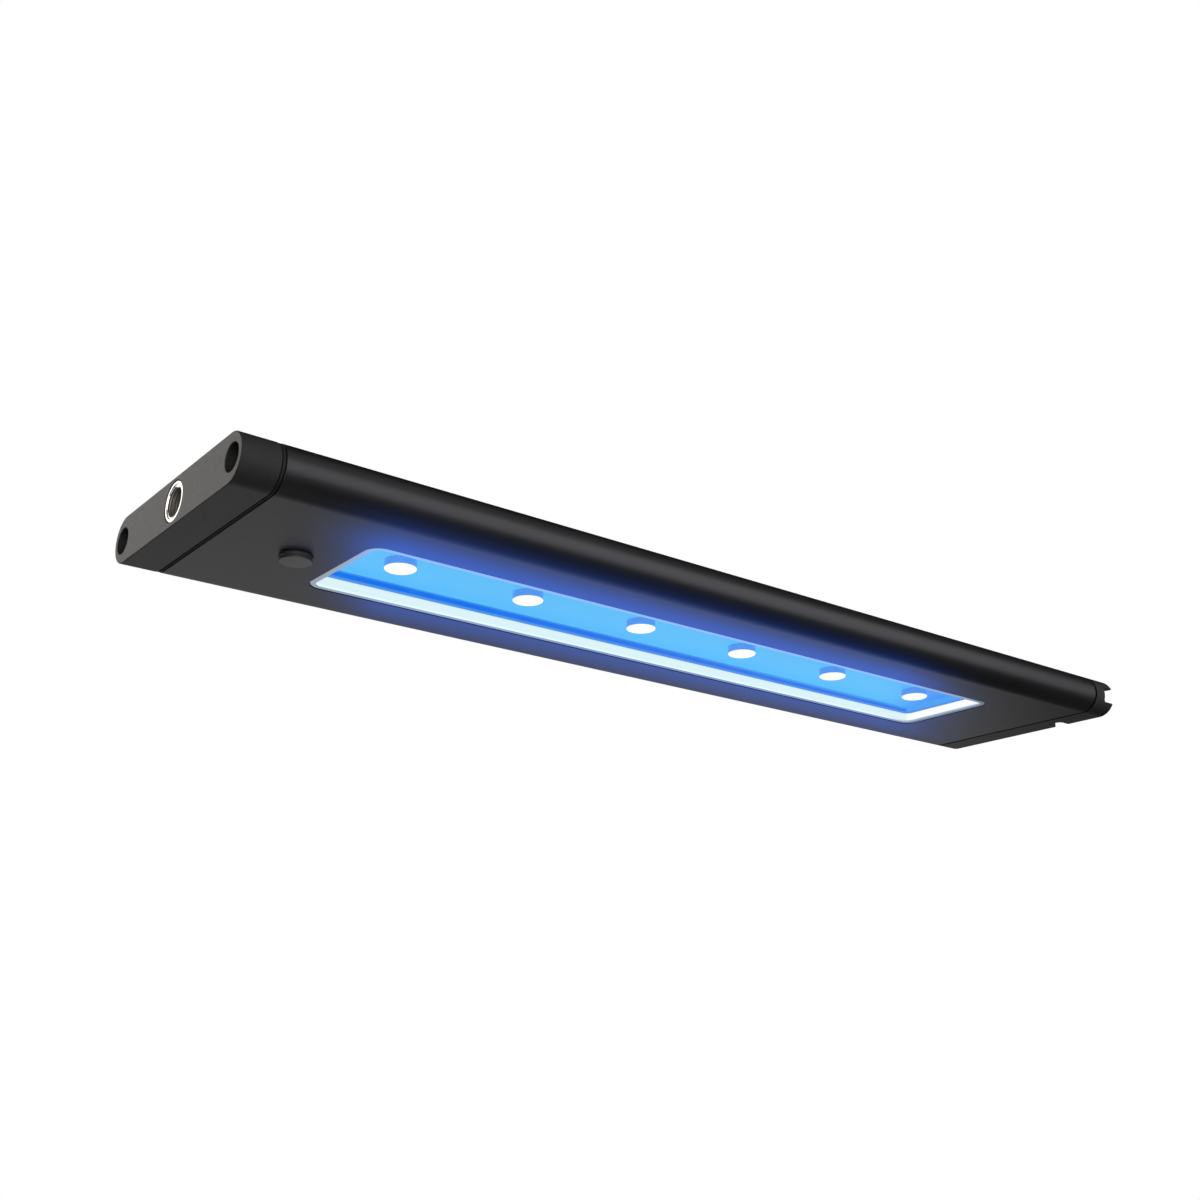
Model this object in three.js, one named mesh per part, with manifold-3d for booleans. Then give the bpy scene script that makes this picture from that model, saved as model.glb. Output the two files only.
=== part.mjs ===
// Slim LED aquarium light, an assembly of separate pieces.
// Millimetres. +X runs along the light from the power-inlet end, +Y across it, +Z up.
// The light shines down (-Z). The origin is midway between the four arm sockets in its ends.
import * as THREE from "three";
import { mergeVertices } from "three/addons/utils/BufferGeometryUtils.js";
import Module from "manifold-3d";

const wasm = await Module();
wasm.setup();

// ---- driving dimensions ----

const LENGTH = 307;
const WIDTH = 69.6;
const THICKNESS = 11.85;
const UNDERSIDE = -5.8; // height of the flat underside, measured from the socket axes
const TOP = UNDERSIDE + THICKNESS;
const MIDDLE = (UNDERSIDE + TOP) / 2;
const END = LENGTH / 2;
const FIT = 0.2; // air between pieces that are stacked or fitted together
const CLOSE_FIT = 0.1; // air round a pin, a flange or a face that nearly touches
const PAST = 1; // how far a cutting solid runs past the face that it opens
const INTO = 0.5; // how far a cutting solid runs on into a space already open

const CAP_LENGTH = 9.1;
const CAP_WALL = 6.0; // solid front of an end cap, outside its rear pocket
const CAP_POCKET = { halfWidth: 21.5, margin: 1.9, corner: 1.2 };
const JOINT = 1.0; // slot between an end cap and the housing, which shows the gasket
const GASKET_INSET = 0.08; // how far a gasket lies below the surface round it
const GASKET_GAP = 0.15; // air on each side of a gasket
const HOUSING_END = END - CAP_LENGTH - JOINT;

const SOCKET_Y = 30;
const SOCKET_RADIUS = 3.2;
const SOCKET_DEPTH = 6.8;
const SCREW_HOLE_RADIUS = 1.6;
const SCREW_CHANNEL_RADIUS = 1.5;

const SLOT_WIDTH = 4.8; // side slots of the right-hand cap
const SLOT_LENGTH = 4.9;
const SLOT_CORNER = 0.8;
const UNDER_SLOT = { y: -14.45, width: 5.1, height: 3, corner: 1.6 };

const FLOOR = UNDERSIDE + 1.5; // inner face of the housing's lower wall
const CEILING = 2.0; // inner face of the housing's thick upper wall, its heat sink
const HOLLOW_HALF_WIDTH = 24.7;
const HOLLOW_CORNER = 1;

const WINDOW = { x: -0.6, halfLength: 111.8, halfWidth: 16.85, corner: 3.8 }; // outside of the bezel
const BEZEL_WIDTH = 1.45;
const BEZEL_RECESS = 0.12;
const BEZEL_THICKNESS = 0.55;
const PANE_THICKNESS = 1.0;
const WELL_STEP = UNDERSIDE + 3.05; // height at which the light well narrows
const WELL_STEP_WIDTH = 0.4;

const BOARD_FACE = -0.3; // lower face of both circuit boards
const BOARD_THICKNESS = 1.5;
const LED_COUNT = 6;
const LED_PITCH = 38.15;
const LED_ROW_X = -0.2; // middle of the row
const LENS_RADIUS = 4.0;
const LENS_HEIGHT = 2.35;

const BUTTON_X = -123.3;
const BUTTON_RADIUS = 3.85;
const BUTTON_HOLE_RADIUS = BUTTON_RADIUS + 0.3;
const BUTTON_PROUD = 1.45;

const INLET_RADIUS = 4.8; // its round flange, sunk in the end face
const INLET_BARREL_RADIUS = 4.0;
const INLET_BORE = 3.3;
const INLET_FLANGE = 1.0; // thickness of the flange
const INLET_LENGTH = 6.6;

// ---- finishes ----

const finish = (color, roughness, metalness) =>
  new THREE.MeshStandardMaterial({ color, roughness, metalness, flatShading: true });

const anodised = finish(0x3f3e3e, 0.45, 0.8);
const capBlack = finish(0x4a4847, 0.55, 0.3);
const rubber = finish(0x141414, 0.85, 0);
const steel = finish(0xb9bcc0, 0.3, 1);
const chrome = finish(0xe8e8e8, 0.12, 1);
const insulation = finish(0x1d1c1a, 0.6, 0);
const contact = finish(0xd8b45a, 0.25, 1);
const bezelGrey = finish(0xa5a3b4, 0.45, 0.1);
const clear = finish(0xe8f2ff, 0.05, 0);
const white = finish(0xf4f6f8, 0.5, 0);
const boardMask = finish(0x2f62d8, 0.5, 0);
const lensWhite = finish(0xf2f7ff, 0.25, 0);
const phosphor = finish(0x4f7dff, 0.4, 0);
const padGrey = finish(0x8d9096, 0.9, 0);
const controlMask = finish(0x1d5a38, 0.5, 0);
const ferrite = finish(0x34343a, 0.7, 0.2);
const tantalum = finish(0xc08a2c, 0.5, 0);
const epoxy = finish(0x17181a, 0.5, 0);
const redWire = finish(0xb3201c, 0.6, 0);
const blackWire = finish(0x151515, 0.6, 0);

// ---- geometry helpers ----

// A closed geometry as a solid that can be joined and cut.
function solid(geometry) {
  const bare = geometry.clone();
  bare.deleteAttribute("normal");
  bare.deleteAttribute("uv");
  const merged = mergeVertices(bare, 1e-4);
  return new wasm.Manifold(
    new wasm.Mesh({
      numProp: 3,
      vertProperties: merged.attributes.position.array,
      triVerts: new Uint32Array(merged.index.array),
    }),
  );
}

function geometryOf(body) {
  const { numProp, numVert, vertProperties, triVerts } = body.getMesh();
  const positions = new Float32Array(numVert * 3);
  for (let i = 0; i < numVert; i++) {
    positions.set(vertProperties.subarray(i * numProp, i * numProp + 3), i * 3);
  }
  const geometry = new THREE.BufferGeometry();
  geometry.setAttribute("position", new THREE.BufferAttribute(positions, 3));
  geometry.setIndex(new THREE.BufferAttribute(triVerts, 1));
  return geometry;
}

const cut = (base, ...tools) =>
  geometryOf(tools.reduce((body, tool) => body.subtract(solid(tool)), solid(base)));
const join = (base, ...others) =>
  geometryOf(others.reduce((body, other) => body.add(solid(other)), solid(base)));

// The outline of the light's section with its full-round long edges, in (y, z).
function stadium(inset = 0) {
  const radius = THICKNESS / 2 - inset;
  const side = (WIDTH - THICKNESS) / 2;
  const shape = new THREE.Shape();
  shape.absarc(side, MIDDLE, radius, -Math.PI / 2, Math.PI / 2, false);
  shape.absarc(-side, MIDDLE, radius, Math.PI / 2, Math.PI * 1.5, false);
  shape.closePath();
  return shape;
}

function roundedRectangle(x, y, halfX, halfY, corner, Outline = THREE.Shape) {
  const outline = new Outline();
  [
    [x + halfX - corner, y - halfY + corner],
    [x + halfX - corner, y + halfY - corner],
    [x - halfX + corner, y + halfY - corner],
    [x - halfX + corner, y - halfY + corner],
  ].forEach(([cx, cy], quarter) => {
    const start = ((quarter - 1) * Math.PI) / 2;
    outline.absarc(cx, cy, corner, start, start + Math.PI / 2, false);
  });
  outline.closePath();
  return outline;
}

const circle = (x, y, radius, Outline = THREE.Path) =>
  new Outline().absarc(x, y, radius, 0, Math.PI * 2, false);

const extrude = (shape, depth, curveSegments) =>
  new THREE.ExtrudeGeometry(shape, { depth, curveSegments, steps: 1, bevelEnabled: false });

const UNIT_X = new THREE.Vector3(1, 0, 0);
const UNIT_Y = new THREE.Vector3(0, 1, 0);
const UNIT_Z = new THREE.Vector3(0, 0, 1);
const SECTION_TO_X = new THREE.Matrix4().makeBasis(UNIT_Y, UNIT_Z, UNIT_X);
const SECTION_TO_Y = new THREE.Matrix4().makeBasis(UNIT_Z, UNIT_X, UNIT_Y);

// A (y, z) outline run along X, a (z, x) outline along Y, and an (x, y) outline along Z.
const alongX = (shape, x0, x1, segments = 8) =>
  extrude(shape, x1 - x0, segments).applyMatrix4(SECTION_TO_X).translate(x0, 0, 0);
const alongY = (shape, y0, y1, segments = 4) =>
  extrude(shape, y1 - y0, segments).applyMatrix4(SECTION_TO_Y).translate(0, y0, 0);
const alongZ = (shape, z0, z1, segments = 4) =>
  extrude(shape, z1 - z0, segments).translate(0, 0, z0);

function box(x0, x1, y0, y1, z0, z1) {
  return new THREE.BoxGeometry(x1 - x0, y1 - y0, z1 - z0).translate(
    (x0 + x1) / 2,
    (y0 + y1) / 2,
    (z0 + z1) / 2,
  );
}

// Round pieces: a profile of [radius, height] points turned about +Z, or about an axis along X.
function turned(profile, segments = 24) {
  const points = profile.map(([radius, height]) => new THREE.Vector2(radius, height));
  return new THREE.LatheGeometry(points, segments).rotateX(Math.PI / 2);
}
const turnedX = (profile, segments = 24) => turned(profile, segments).rotateY(Math.PI / 2);

const rodX = (y, z, radius, x0, x1, segments = 12) =>
  alongX(circle(y, z, radius, THREE.Shape), x0, x1, segments);
const rodZ = (x, y, radius, z0, z1, segments = 12) =>
  alongZ(circle(x, y, radius, THREE.Shape), z0, z1, segments);

const light = new THREE.Group();

function add(name, geometry, material) {
  const mesh = new THREE.Mesh(geometry, material);
  mesh.name = name;
  light.add(mesh);
  return mesh;
}

const mirrored = (geometry) => geometry.clone().rotateZ(Math.PI);

// ---- housing: one hollow extrusion with a window, a button hole and board-screw holes ----

const BOARD_SCREWS = [-96, 0, 96].flatMap((x) => [-20.3, 20.3].map((y) => [x, y]));
const BOARD_SCREW_RADIUS = 1.2;
const BOARD_SCREW_TOP = CEILING + 2.4;
const BOARD_SCREW_HOLE = { radius: BOARD_SCREW_RADIUS + 0.15, top: BOARD_SCREW_TOP + 0.3 };

function housing() {
  const section = stadium();
  const hollowHalfHeight = (CEILING - FLOOR) / 2;
  const hollowMiddle = (CEILING + FLOOR) / 2;
  section.holes.push(
    roundedRectangle(
      0,
      hollowMiddle,
      HOLLOW_HALF_WIDTH,
      hollowHalfHeight,
      HOLLOW_CORNER,
      THREE.Path,
    ),
    circle(-SOCKET_Y, 0, SCREW_CHANNEL_RADIUS),
    circle(SOCKET_Y, 0, SCREW_CHANNEL_RADIUS),
  );
  const opening = roundedRectangle(
    WINDOW.x,
    0,
    WINDOW.halfLength + FIT,
    WINDOW.halfWidth + FIT,
    WINDOW.corner + FIT,
  );
  return cut(
    alongX(section, -HOUSING_END, HOUSING_END),
    alongZ(opening, UNDERSIDE - PAST, FLOOR + INTO),
    rodZ(BUTTON_X, 0, BUTTON_HOLE_RADIUS, UNDERSIDE - PAST, FLOOR + INTO),
    ...BOARD_SCREWS.map(([x, y]) =>
      rodZ(x, y, BOARD_SCREW_HOLE.radius, CEILING - INTO, BOARD_SCREW_HOLE.top, 6),
    ),
  );
}

add("housing", housing(), anodised);

// ---- end caps, gaskets and cap screws ----

// An end cap, as it sits on the left, with its two arm sockets, screw holes and rear pocket.
function capBlank() {
  const inner = -END + CAP_LENGTH;
  const { halfWidth, margin, corner } = CAP_POCKET;
  const pocket = roundedRectangle(0, MIDDLE, halfWidth, THICKNESS / 2 - margin, corner);
  const holes = [-SOCKET_Y, SOCKET_Y].flatMap((y) => [
    rodX(y, 0, SOCKET_RADIUS, -END - PAST, -END + SOCKET_DEPTH),
    rodX(y, 0, SCREW_HOLE_RADIUS, -END + SOCKET_DEPTH - INTO, inner + PAST, 8),
  ]);
  return cut(
    alongX(stadium(), -END, inner, 10),
    alongX(pocket, -END + CAP_WALL, inner + PAST, 4),
    ...holes,
  );
}

// The left-hand cap's centre is bored and counterbored for the power inlet.
function leftCap() {
  const counterbore = INLET_FLANGE + FIT;
  const bore = INLET_BARREL_RADIUS + FIT;
  return cut(
    capBlank(),
    rodX(0, MIDDLE, INLET_RADIUS + CLOSE_FIT, -END - PAST, -END + counterbore, 16),
    rodX(0, MIDDLE, bore, -END - PAST, -END + CAP_LENGTH + PAST, 16),
  );
}

// The right-hand cap has a side slot into each socket and one notch in its underside.
function rightCap() {
  const side = roundedRectangle(0, END, SLOT_WIDTH / 2, SLOT_LENGTH, SLOT_CORNER);
  const { y, width, height, corner } = UNDER_SLOT;
  const under = roundedRectangle(END, y, SLOT_LENGTH, width / 2, corner);
  return cut(
    mirrored(capBlank()),
    alongY(side, SOCKET_Y, WIDTH / 2 + PAST),
    alongY(side, -WIDTH / 2 - PAST, -SOCKET_Y),
    alongZ(under, UNDERSIDE - PAST, UNDERSIDE + height),
  );
}

add("left_end_cap", leftCap(), capBlack);
add("right_end_cap", rightCap(), capBlack);

function gasket() {
  const section = stadium(GASKET_INSET);
  const { halfWidth, margin, corner } = CAP_POCKET;
  const halfHeight = THICKNESS / 2 - margin - CLOSE_FIT;
  section.holes.push(
    roundedRectangle(0, MIDDLE, halfWidth, halfHeight, corner, THREE.Path),
    circle(-SOCKET_Y, 0, SCREW_HOLE_RADIUS),
    circle(SOCKET_Y, 0, SCREW_HOLE_RADIUS),
  );
  const joint = -END + CAP_LENGTH;
  return alongX(section, joint + GASKET_GAP, joint + JOINT - GASKET_GAP, 8);
}

add("left_gasket", gasket(), rubber);
add("right_gasket", mirrored(gasket()), rubber);

const CAP_SCREW = {
  head: 2.6,
  headHeight: 1.8,
  bevel: 0.7,
  shank: 1.4,
  length: 15,
  point: 1.4,
  tip: 0.6,
};

// A pan-head screw along +X with its head's outer face at x = 0.
function capScrew() {
  const { head, headHeight, bevel, shank, length, point, tip } = CAP_SCREW;
  return turnedX(
    [
      [0, 0],
      [head - bevel, 0],
      [head, bevel],
      [head, headHeight],
      [shank, headHeight],
      [shank, length - point],
      [tip, length],
      [0, length],
    ],
    20,
  );
}

// The head's outer face, measured from the end face.
const SCREW_SEAT = SOCKET_DEPTH - CAP_SCREW.headHeight - CLOSE_FIT;
for (const [side, y] of [
  ["near", -SOCKET_Y],
  ["far", SOCKET_Y],
]) {
  add(`left_${side}_cap_screw`, capScrew(), steel).position.set(-END + SCREW_SEAT, y, 0);
  const right = add(`right_${side}_cap_screw`, capScrew(), steel);
  right.position.set(END - SCREW_SEAT, y, 0);
  right.rotation.z = Math.PI;
}

// ---- power inlet in the left-hand cap, centred on the section's height ----

const INLET_FACE = -END + 0.08;
const PIN_RADIUS = 0.5;
const PIN_OFFSET = 1.13; // from the inlet's axis, both ways
const PIN = { x0: -END + 4.7, x1: -END + 8.8 };
const CORE = { x0: -END + 5.4, x1: -END + 7.2 };

// The metal shell: a flange with a bevelled mouth, and a barrel through the cap.
function inletShell() {
  const mouth = 0.45;
  const edge = 0.25;
  return turnedX(
    [
      [INLET_BORE + mouth, 0],
      [INLET_RADIUS - edge, 0],
      [INLET_RADIUS, edge],
      [INLET_RADIUS, INLET_FLANGE],
      [INLET_BARREL_RADIUS, INLET_FLANGE],
      [INLET_BARREL_RADIUS, INLET_LENGTH],
      [INLET_BORE, INLET_LENGTH],
      [INLET_BORE, mouth],
      [INLET_BORE + mouth, 0],
    ],
    32,
  ).translate(INLET_FACE, 0, MIDDLE);
}

const INLET_PINS = [-PIN_OFFSET, PIN_OFFSET].flatMap((y) =>
  [-PIN_OFFSET, PIN_OFFSET].map((z) => [y, MIDDLE + z]),
);

// The disc that closes the barrel's rear and carries the pins.
function inletInsulator() {
  return cut(
    rodX(0, MIDDLE, INLET_BORE - CLOSE_FIT, CORE.x0, CORE.x1, 12),
    ...INLET_PINS.map(([y, z]) =>
      rodX(y, z, PIN_RADIUS + CLOSE_FIT, CORE.x0 - PAST, CORE.x1 + PAST, 6),
    ),
  );
}

add("inlet_shell", inletShell(), chrome);
add("inlet_insulator", inletInsulator(), insulation);
INLET_PINS.forEach(([y, z], index) => {
  add(`inlet_pin_${index + 1}`, rodX(y, z, PIN_RADIUS, PIN.x0, PIN.x1, 6), contact);
});

// ---- window: bezel, clear pane and the light well above them ----

const windowOutline = (inset, Outline) =>
  roundedRectangle(
    WINDOW.x,
    0,
    WINDOW.halfLength - inset,
    WINDOW.halfWidth - inset,
    WINDOW.corner - inset,
    Outline,
  );

function frameOf(outerInset, innerInset, z0, z1) {
  const shape = windowOutline(outerInset);
  shape.holes.push(windowOutline(innerInset, THREE.Path));
  return alongZ(shape, z0, z1, 6);
}

const BEZEL_FACE = UNDERSIDE + BEZEL_RECESS;
const BEZEL_BACK = BEZEL_FACE + BEZEL_THICKNESS;
const PANE_FACE = BEZEL_FACE + CLOSE_FIT;

add("window_bezel", frameOf(0, BEZEL_WIDTH, BEZEL_FACE, BEZEL_BACK), bezelGrey);
add(
  "window_pane",
  alongZ(windowOutline(BEZEL_WIDTH + FIT), PANE_FACE, PANE_FACE + PANE_THICKNESS, 6),
  clear,
);

// The well's flange rests on the housing's lower wall, and its mouth narrows at WELL_STEP.
function lightWell() {
  const base = BEZEL_BACK + FIT;
  const top = BOARD_FACE - 0.15;
  const outer = 0.05;
  const flange = { reach: 3, overlap: 1, z0: FLOOR + 0.15, z1: FLOOR + 0.9 };
  return join(
    frameOf(outer, BEZEL_WIDTH, base, WELL_STEP),
    frameOf(outer, BEZEL_WIDTH + WELL_STEP_WIDTH, WELL_STEP, top),
    frameOf(-flange.reach, flange.overlap, flange.z0, flange.z1),
  );
}

add("light_well", lightWell(), white);

// ---- LED board, its LEDs, lenses, thermal pad and screws ----

const BOARD_BACK = BOARD_FACE + BOARD_THICKNESS;
const UNDER_BOARD = BOARD_FACE - CLOSE_FIT; // top of what is fixed under a board
const LED_BOARD = { x0: -115.5, x1: 120, halfWidth: 22.5 };
const BOARD_CORNER = 1;
const boardScrewHoles = () =>
  BOARD_SCREWS.map(([x, y]) => circle(x, y, BOARD_SCREW_RADIUS + FIT));

function plate({ x0, x1, halfWidth }, z0, z1, holes = []) {
  const shape = roundedRectangle((x0 + x1) / 2, 0, (x1 - x0) / 2, halfWidth, BOARD_CORNER);
  shape.holes.push(...holes);
  return alongZ(shape, z0, z1, 4);
}

add("led_board", plate(LED_BOARD, BOARD_FACE, BOARD_BACK, boardScrewHoles()), boardMask);
add(
  "thermal_pad",
  plate(LED_BOARD, BOARD_BACK + CLOSE_FIT, CEILING - CLOSE_FIT, boardScrewHoles()),
  padGrey,
);

// A lens cap standing down from the board, with a pocket over its LED.
function lens() {
  const pocket = { radius: 2.7, height: 1.0 };
  const bevel = 0.4;
  return turned([
    [0, -LENS_HEIGHT],
    [LENS_RADIUS - bevel, -LENS_HEIGHT],
    [LENS_RADIUS, -LENS_HEIGHT + bevel],
    [LENS_RADIUS, 0],
    [pocket.radius, 0],
    [pocket.radius, -pocket.height],
    [0, -pocket.height],
  ]);
}

const LED_HALF_SIZE = 1.7;
const LED_HEIGHT = 0.7;
const LED_SEAT = BOARD_FACE - 0.05;

for (let i = 0; i < LED_COUNT; i++) {
  const x = LED_ROW_X + (i - (LED_COUNT - 1) / 2) * LED_PITCH;
  const half = LED_HALF_SIZE;
  const led = add(`led_${i + 1}`, box(-half, half, -half, half, -LED_HEIGHT, 0), phosphor);
  led.position.set(x, 0, LED_SEAT);
  add(`lens_${i + 1}`, lens(), lensWhite).position.set(x, 0, LED_SEAT);
}

// A screw driven upwards, with its head under the board at z = 0.
function boardScrew() {
  const head = { radius: 2.1, height: 1.3, bevel: 0.5 };
  const point = { radius: 0.5, height: 0.5 };
  const length = BOARD_SCREW_TOP - BOARD_FACE;
  return turned(
    [
      [0, -head.height],
      [head.radius - head.bevel, -head.height],
      [head.radius, head.bevel - head.height],
      [head.radius, 0],
      [BOARD_SCREW_RADIUS, 0],
      [BOARD_SCREW_RADIUS, length - point.height],
      [point.radius, length],
      [0, length],
    ],
    12,
  );
}

BOARD_SCREWS.forEach(([x, y], index) => {
  add(`board_screw_${index + 1}`, boardScrew(), steel).position.set(x, y, UNDER_BOARD);
});

// ---- control board at the left-hand end ----

const CONTROL_BOARD = { x0: -142, x1: -116.5, halfWidth: 19 };

add("control_board", plate(CONTROL_BOARD, BOARD_FACE, BOARD_BACK), controlMask);

for (const [name, x, y, length, width, height, material] of [
  ["inductor", -130.5, 11.5, 7, 7, 3, ferrite],
  ["capacitor", -129.5, -12.8, 7, 4.3, 2.8, tantalum],
  ["controller_chip", -121, 11, 5, 5, 1.5, epoxy],
]) {
  const body = box(-length / 2, length / 2, -width / 2, width / 2, -height, 0);
  add(name, body, material).position.set(x, y, UNDER_BOARD);
}

// ---- control button and its switch ----

const SWITCH_HALF_SIZE = 3.1;
const SWITCH_BOTTOM = -2.35;
const SWITCH_BORE_TOP = -0.85;
const PLUNGER = { radius: 1.6, z0: -2.85, z1: -1.8 };
const GRIP_GROOVE = { z0: -6.55, z1: -6.25, depth: 0.2 }; // round the part that stands proud
const SEAL_GROOVE = { z0: -5.4, z1: -4.7, depth: 0.55 };
const SEAL_SECTION = 0.3; // radius of the O-ring's cord
const DOME_BOTTOM = -1.15;

// The button's face stands below the housing, and its flange stops it dropping out.
function button() {
  const face = UNDERSIDE - BUTTON_PROUD;
  const bevel = 0.3;
  const grip = BUTTON_RADIUS - GRIP_GROOVE.depth;
  const neck = BUTTON_RADIUS - SEAL_GROOVE.depth;
  const flange = { radius: 5.2, z0: FLOOR + 0.15, z1: FLOOR + 0.75 };
  const stem = { radius: 1.5, z1: PLUNGER.z0 - CLOSE_FIT };
  return turned(
    [
      [0, face],
      [BUTTON_RADIUS - bevel, face],
      [BUTTON_RADIUS, face + bevel],
      [BUTTON_RADIUS, GRIP_GROOVE.z0],
      [grip, GRIP_GROOVE.z0],
      [grip, GRIP_GROOVE.z1],
      [BUTTON_RADIUS, GRIP_GROOVE.z1],
      [BUTTON_RADIUS, SEAL_GROOVE.z0],
      [neck, SEAL_GROOVE.z0],
      [neck, SEAL_GROOVE.z1],
      [BUTTON_RADIUS, SEAL_GROOVE.z1],
      [BUTTON_RADIUS, flange.z0],
      [flange.radius, flange.z0],
      [flange.radius, flange.z1],
      [stem.radius, flange.z1],
      [stem.radius, stem.z1],
      [0, stem.z1],
    ],
    32,
  );
}

// An O-ring in the button's groove, which runs along the wall of the housing's hole.
function buttonSeal() {
  const ring = BUTTON_RADIUS - CLOSE_FIT;
  const height = (SEAL_GROOVE.z0 + SEAL_GROOVE.z1) / 2;
  const sides = 8;
  const profile = [];
  for (let i = 0; i <= sides; i++) {
    const angle = (i / sides) * Math.PI * 2;
    profile.push([
      ring + SEAL_SECTION * Math.cos(angle),
      height + SEAL_SECTION * Math.sin(angle),
    ]);
  }
  return turned(profile);
}

add("control_button", button(), capBlack).position.x = BUTTON_X;
add("button_seal", buttonSeal(), rubber).position.x = BUTTON_X;
add(
  "switch_plunger",
  rodZ(BUTTON_X, 0, PLUNGER.radius, PLUNGER.z0, PLUNGER.z1, 8),
  epoxy,
);

// A square can on the board, bored from below for the plunger and its spring dome.
function switchBody() {
  const half = SWITCH_HALF_SIZE;
  return cut(
    box(BUTTON_X - half, BUTTON_X + half, -half, half, SWITCH_BOTTOM, UNDER_BOARD),
    rodZ(BUTTON_X, 0, PLUNGER.radius + FIT, SWITCH_BOTTOM - PAST, SWITCH_BORE_TOP, 8),
  );
}

add("switch_body", switchBody(), steel);

// The thin metal dome over the switch's contacts, bulging down towards the plunger.
function switchDome() {
  const rim = 1.6;
  const below = [0, 0.05, 0.2]; // heights of the lower face at the middle, half way and rim
  const above = [0.12, 0.15, 0.25];
  const profile = [
    [0, below[0]],
    [rim / 2, below[1]],
    [rim, below[2]],
    [rim, above[2]],
    [rim / 2, above[1]],
    [0, above[0]],
  ];
  return turned(profile, 16).translate(BUTTON_X, 0, DOME_BOTTOM);
}

add("switch_dome", switchDome(), contact);

// ---- internal leads ----

const LEAD_RADIUS = 0.5;

function lead(points) {
  const route = new THREE.CatmullRomCurve3(points.map((point) => new THREE.Vector3(...point)));
  const section = circle(0, 0, LEAD_RADIUS, THREE.Shape);
  return new THREE.ExtrudeGeometry(section, {
    extrudePath: route,
    steps: 14,
    curveSegments: 4,
    bevelEnabled: false,
  });
}

// From an inlet pin's tail down to a pad under the control board, and from board to board.
const inletLead = (sign) => [
  [PIN.x1 + 0.3, sign * PIN_OFFSET, MIDDLE - PIN_OFFSET],
  [-143.4, sign * 1.3, -1.2],
  [-142.2, sign * 2.6, -1.7],
  [-140.6, sign * 4.4, -1.5],
  [-139.4, sign * 5.4, -1.05],
];
const ledLead = (y) => [
  [-119.2, y, -1.0],
  [-118.2, y, -1.5],
  [-116, y, -1.9],
  [-113.6, y, -1.5],
  [-112.8, y, -1.0],
];

add("inlet_lead_positive", lead(inletLead(1)), redWire);
add("inlet_lead_negative", lead(inletLead(-1)), blackWire);
add("led_lead_positive", lead(ledLead(20.6)), redWire);
add("led_lead_negative", lead(ledLead(-20.6)), blackWire);

export default light;
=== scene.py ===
import math

import bmesh
import bpy
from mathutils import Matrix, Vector

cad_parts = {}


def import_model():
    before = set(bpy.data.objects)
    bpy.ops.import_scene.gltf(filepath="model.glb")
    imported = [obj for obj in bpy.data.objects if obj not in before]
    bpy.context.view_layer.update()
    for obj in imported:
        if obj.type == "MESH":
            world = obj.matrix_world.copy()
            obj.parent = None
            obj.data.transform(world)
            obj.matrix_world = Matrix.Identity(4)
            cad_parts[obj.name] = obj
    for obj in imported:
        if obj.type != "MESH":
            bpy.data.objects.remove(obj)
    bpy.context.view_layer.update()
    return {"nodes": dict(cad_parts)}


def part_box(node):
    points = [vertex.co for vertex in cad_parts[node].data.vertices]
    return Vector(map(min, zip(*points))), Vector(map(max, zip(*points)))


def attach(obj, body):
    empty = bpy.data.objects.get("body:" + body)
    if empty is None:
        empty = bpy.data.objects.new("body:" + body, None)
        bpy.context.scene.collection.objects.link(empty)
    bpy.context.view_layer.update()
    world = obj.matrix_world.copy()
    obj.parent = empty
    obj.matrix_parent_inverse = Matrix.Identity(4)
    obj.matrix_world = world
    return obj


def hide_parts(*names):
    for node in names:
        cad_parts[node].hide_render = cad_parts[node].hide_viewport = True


# A slim LED aquarium light: a black bar with a long lit window in its underside.
# Metres, +X along the light from the power inlet, +Y across it, +Z up, as in the CAD frame.
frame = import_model()

MM = 0.001

# ---- driving dimensions that a node's box doesn't give ----

CASE_EDGE = 0.18 * MM  # rounding where the extrusion's ends were broken
CAP_EDGE = 0.25 * MM  # rounding of the end caps' edges
GASKET_EDGE = 0.2 * MM
FINE_EDGE = 0.05 * MM  # rounding of the smallest turned corners

PAST = 1 * MM  # how far a cutting tool reaches past the piece
LAP = 0.5 * MM  # how far one cut runs into the next
SKIN = 0.01 * MM  # how far a flared cut starts outside a face

SOCKET_Y = 30 * MM
SOCKET_RADIUS = 3.2 * MM
SOCKET_DEPTH = 6.8 * MM
SOCKET_FLARE = 0.2 * MM
SCREW_HOLE_RADIUS = 1.6 * MM
SCREW_CHANNEL_RADIUS = 1.5 * MM
SCREW_HEAD = {"radius": 2.6 * MM, "crown": 1.9 * MM, "bevel": 0.7 * MM, "height": 1.8 * MM}
SCREW_SHANK = {"radius": 1.4 * MM, "length": 13.6 * MM, "point": 0.6 * MM}
SCREW_CROSS = {"long": 1.35 * MM, "short": 0.3 * MM, "depth": 1.1 * MM}

CAP_WALL = 6.0 * MM
CAP_POCKET_HALF_WIDTH = 21.5 * MM
CAP_POCKET_MARGIN = 1.9 * MM
GASKET_MARGIN = 1.92 * MM
POCKET_CORNER = 1.2 * MM
SIDE_SLOT = {"half_height": 2.4 * MM, "length": 4.9 * MM, "corner": 0.8 * MM}
UNDER_NOTCH = {"y": -14.45 * MM, "half_width": 2.55 * MM, "height": 3.0 * MM, "corner": 1.6 * MM}

HOLLOW_HALF_WIDTH = 24.7 * MM
HOLLOW_TOP = 2.0 * MM
HOLLOW_CORNER = 1 * MM
LOWER_WALL = 1.5 * MM
BOARD_SCREW_HOLE = {"radius": 1.35 * MM, "top": 4.7 * MM}

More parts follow.
